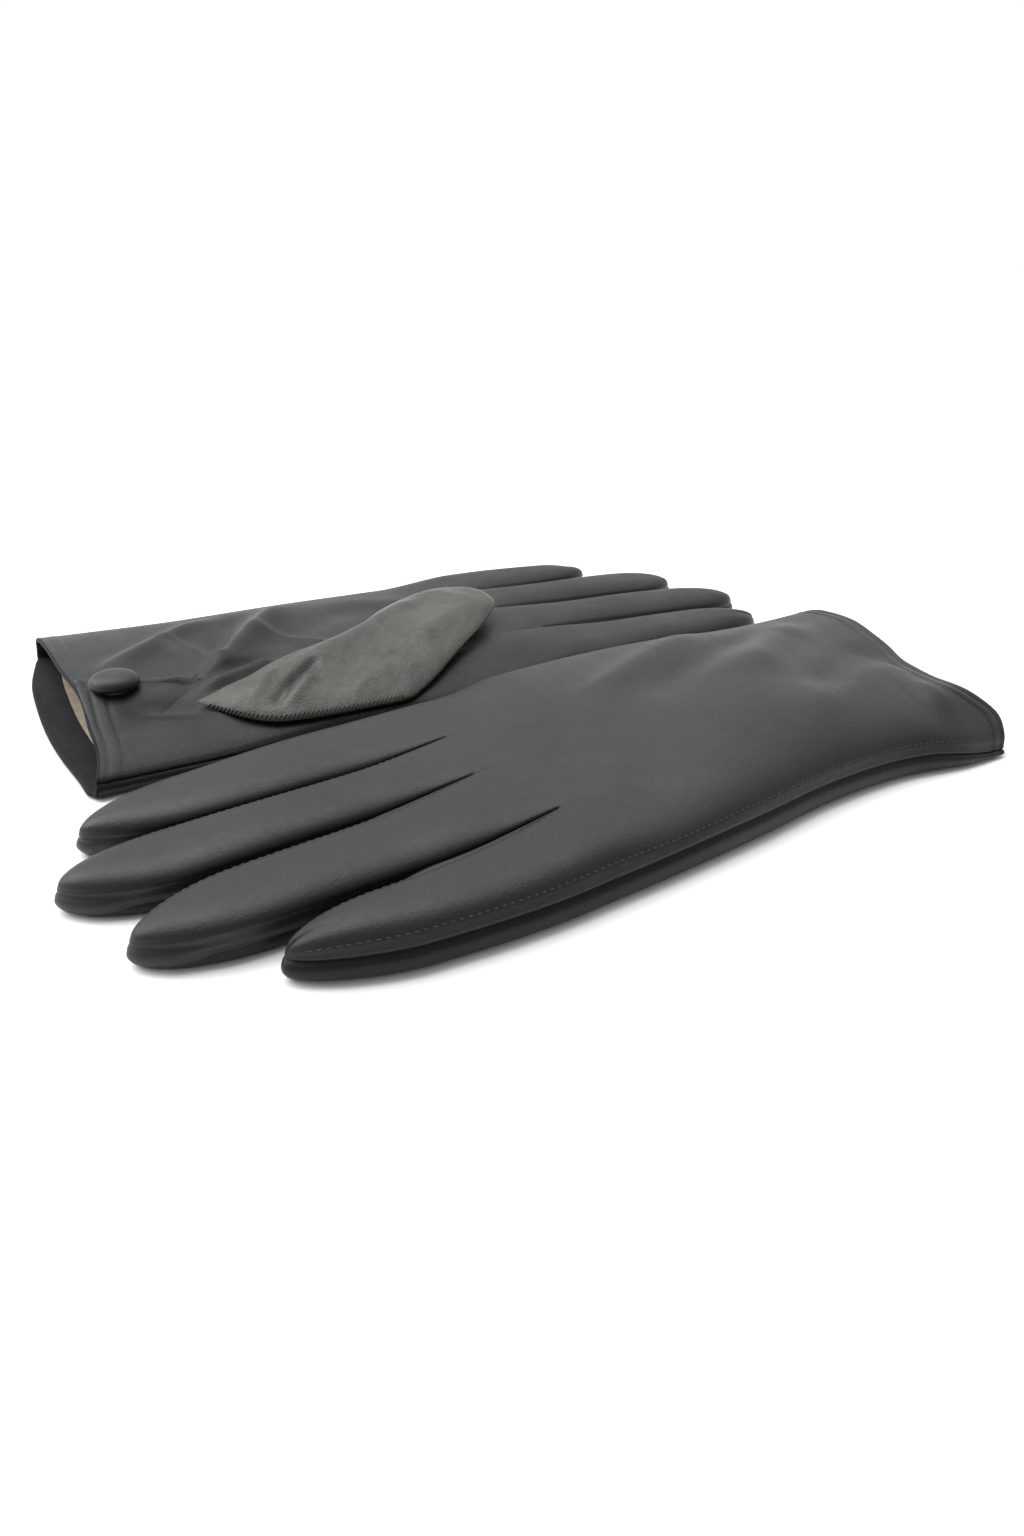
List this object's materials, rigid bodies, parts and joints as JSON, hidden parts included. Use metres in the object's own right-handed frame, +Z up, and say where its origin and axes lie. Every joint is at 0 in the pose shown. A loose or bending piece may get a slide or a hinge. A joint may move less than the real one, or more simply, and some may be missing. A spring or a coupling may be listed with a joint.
{
  "type": "leather gloves",
  "caption": "Pair of black leather dress gloves lying flat, one palm up and one palm down, with jointed fingers, thumbs and snap-fastened wrist flaps.",
  "frame": {"origin": "centre of the pair's bounding box in plan, on the surface the gloves lie on", "axes": "+X along the gloves' length, from the right glove's cuff towards its fingertips; +Y across, from the left glove to the right glove; +Z up from the table"},
  "size_m": [0.2684, 0.2093, 0.0257],
  "materials": {
    "black_leather": "soft satin nappa, fine grain",
    "lining": "matt cream knit",
    "snap_metal": "plated, dull"
  },
  "bodies": {
    "right_hand": {"right_palm_panel": "black_leather", "right_back_panel": "black_leather", "right_palm_lining": "lining", "right_back_lining": "lining", "right_snap_stud": "snap_metal", "right_snap_post": "snap_metal"},
    "right_index": {"right_index_palm_side": "black_leather", "right_index_back": "black_leather", "right_index_fourchette_little_side": "black_leather", "right_index_lining": "lining"},
    "right_middle": {"right_middle_palm_side": "black_leather", "right_middle_back": "black_leather", "right_middle_fourchette_index_side": "black_leather", "right_middle_fourchette_little_side": "black_leather", "right_middle_lining": "lining"},
    "right_ring": {"right_ring_palm_side": "black_leather", "right_ring_back": "black_leather", "right_ring_fourchette_index_side": "black_leather", "right_ring_fourchette_little_side": "black_leather", "right_ring_lining": "lining"},
    "right_little": {"right_little_palm_side": "black_leather", "right_little_back": "black_leather", "right_little_fourchette_index_side": "black_leather", "right_little_lining": "lining"},
    "right_thumb": {"right_thumb_outer": "black_leather", "right_thumb_inner": "black_leather", "right_thumb_lining": "lining"},
    "right_flap": {"right_snap_flap": "black_leather", "right_snap_socket": "snap_metal", "right_snap_cap": "black_leather"},
    "left_hand": {"left_palm_panel": "black_leather", "left_back_panel": "black_leather", "left_palm_lining": "lining", "left_back_lining": "lining", "left_snap_stud": "snap_metal", "left_snap_post": "snap_metal"},
    "left_index": {"left_index_palm_side": "black_leather", "left_index_back": "black_leather", "left_index_fourchette_little_side": "black_leather", "left_index_lining": "lining"},
    "left_middle": {"left_middle_palm_side": "black_leather", "left_middle_back": "black_leather", "left_middle_fourchette_index_side": "black_leather", "left_middle_fourchette_little_side": "black_leather", "left_middle_lining": "lining"},
    "left_ring": {"left_ring_palm_side": "black_leather", "left_ring_back": "black_leather", "left_ring_fourchette_index_side": "black_leather", "left_ring_fourchette_little_side": "black_leather", "left_ring_lining": "lining"},
    "left_little": {"left_little_palm_side": "black_leather", "left_little_back": "black_leather", "left_little_fourchette_index_side": "black_leather", "left_little_lining": "lining"},
    "left_thumb": {"left_thumb_outer": "black_leather", "left_thumb_inner": "black_leather", "left_thumb_lining": "lining"},
    "left_flap": {"left_snap_flap": "black_leather", "left_snap_socket": "snap_metal", "left_snap_cap": "black_leather"}
  },
  "joints": [
    {"name": "right_index_bend", "type": "hinge", "parent": "right_hand", "child": "right_index", "pos_m": [0.03262, 0.01182, 0.0136], "axis": [-0.015, -0.9999, 0], "range_deg": [0, 80]},
    {"name": "right_middle_bend", "type": "hinge", "parent": "right_hand", "child": "right_middle", "pos_m": [0.03302, 0.03832, 0.0136], "axis": [-0.015, -0.9999, 0], "range_deg": [0, 80]},
    {"name": "right_ring_bend", "type": "hinge", "parent": "right_hand", "child": "right_ring", "pos_m": [0.03339, 0.06332, 0.0136], "axis": [-0.015, -0.9999, 0], "range_deg": [0, 80]},
    {"name": "right_little_bend", "type": "hinge", "parent": "right_hand", "child": "right_little", "pos_m": [0.03377, 0.08856, 0.0136], "axis": [-0.015, -0.9999, 0], "range_deg": [0, 80]},
    {"name": "right_thumb_lift", "type": "hinge", "parent": "right_hand", "child": "right_thumb", "pos_m": [-0.07636, 0.01396, 0.01448], "axis": [0.3287, -0.9444, 0], "range_deg": [0, 75]},
    {"name": "right_flap_open", "type": "hinge", "parent": "right_hand", "child": "right_flap", "pos_m": [-0.11925, 0.0081, 0.01414], "axis": [0.8197, 0.5671, 0.0811], "range_deg": [0, 100]},
    {"name": "left_index_bend", "type": "hinge", "parent": "left_hand", "child": "left_index", "pos_m": [-0.03658, -0.02093, 0], "axis": [0.0169, -0.9999, 0], "range_deg": [0, 80]},
    {"name": "left_middle_bend", "type": "hinge", "parent": "left_hand", "child": "left_middle", "pos_m": [-0.03616, -0.04568, 0], "axis": [0.0169, -0.9999, 0], "range_deg": [0, 80]},
    {"name": "left_ring_bend", "type": "hinge", "parent": "left_hand", "child": "left_ring", "pos_m": [-0.03576, -0.06942, 0], "axis": [0.0169, -0.9999, 0], "range_deg": [0, 80]},
    {"name": "left_little_bend", "type": "hinge", "parent": "left_hand", "child": "left_little", "pos_m": [-0.03536, -0.09317, 0], "axis": [0.0169, -0.9999, 0], "range_deg": [0, 80]},
    {"name": "left_thumb_lift", "type": "hinge", "parent": "left_hand", "child": "left_thumb", "pos_m": [0.07141, -0.01985, 0.00915], "axis": [0.3829, -0.9238, 0], "range_deg": [0, 75]},
    {"name": "left_flap_open", "type": "hinge", "parent": "left_hand", "child": "left_flap", "pos_m": [0.13356, -0.0103, 0.0049], "axis": [0.8427, 0.5383, -0.0061], "range_deg": [0, 100]},
    {"name": "left_glove_lift", "type": "slide", "parent": "right_hand", "child": "left_hand", "axis": [0, 0, 1], "range_m": [0, 0.15]}
  ]
}
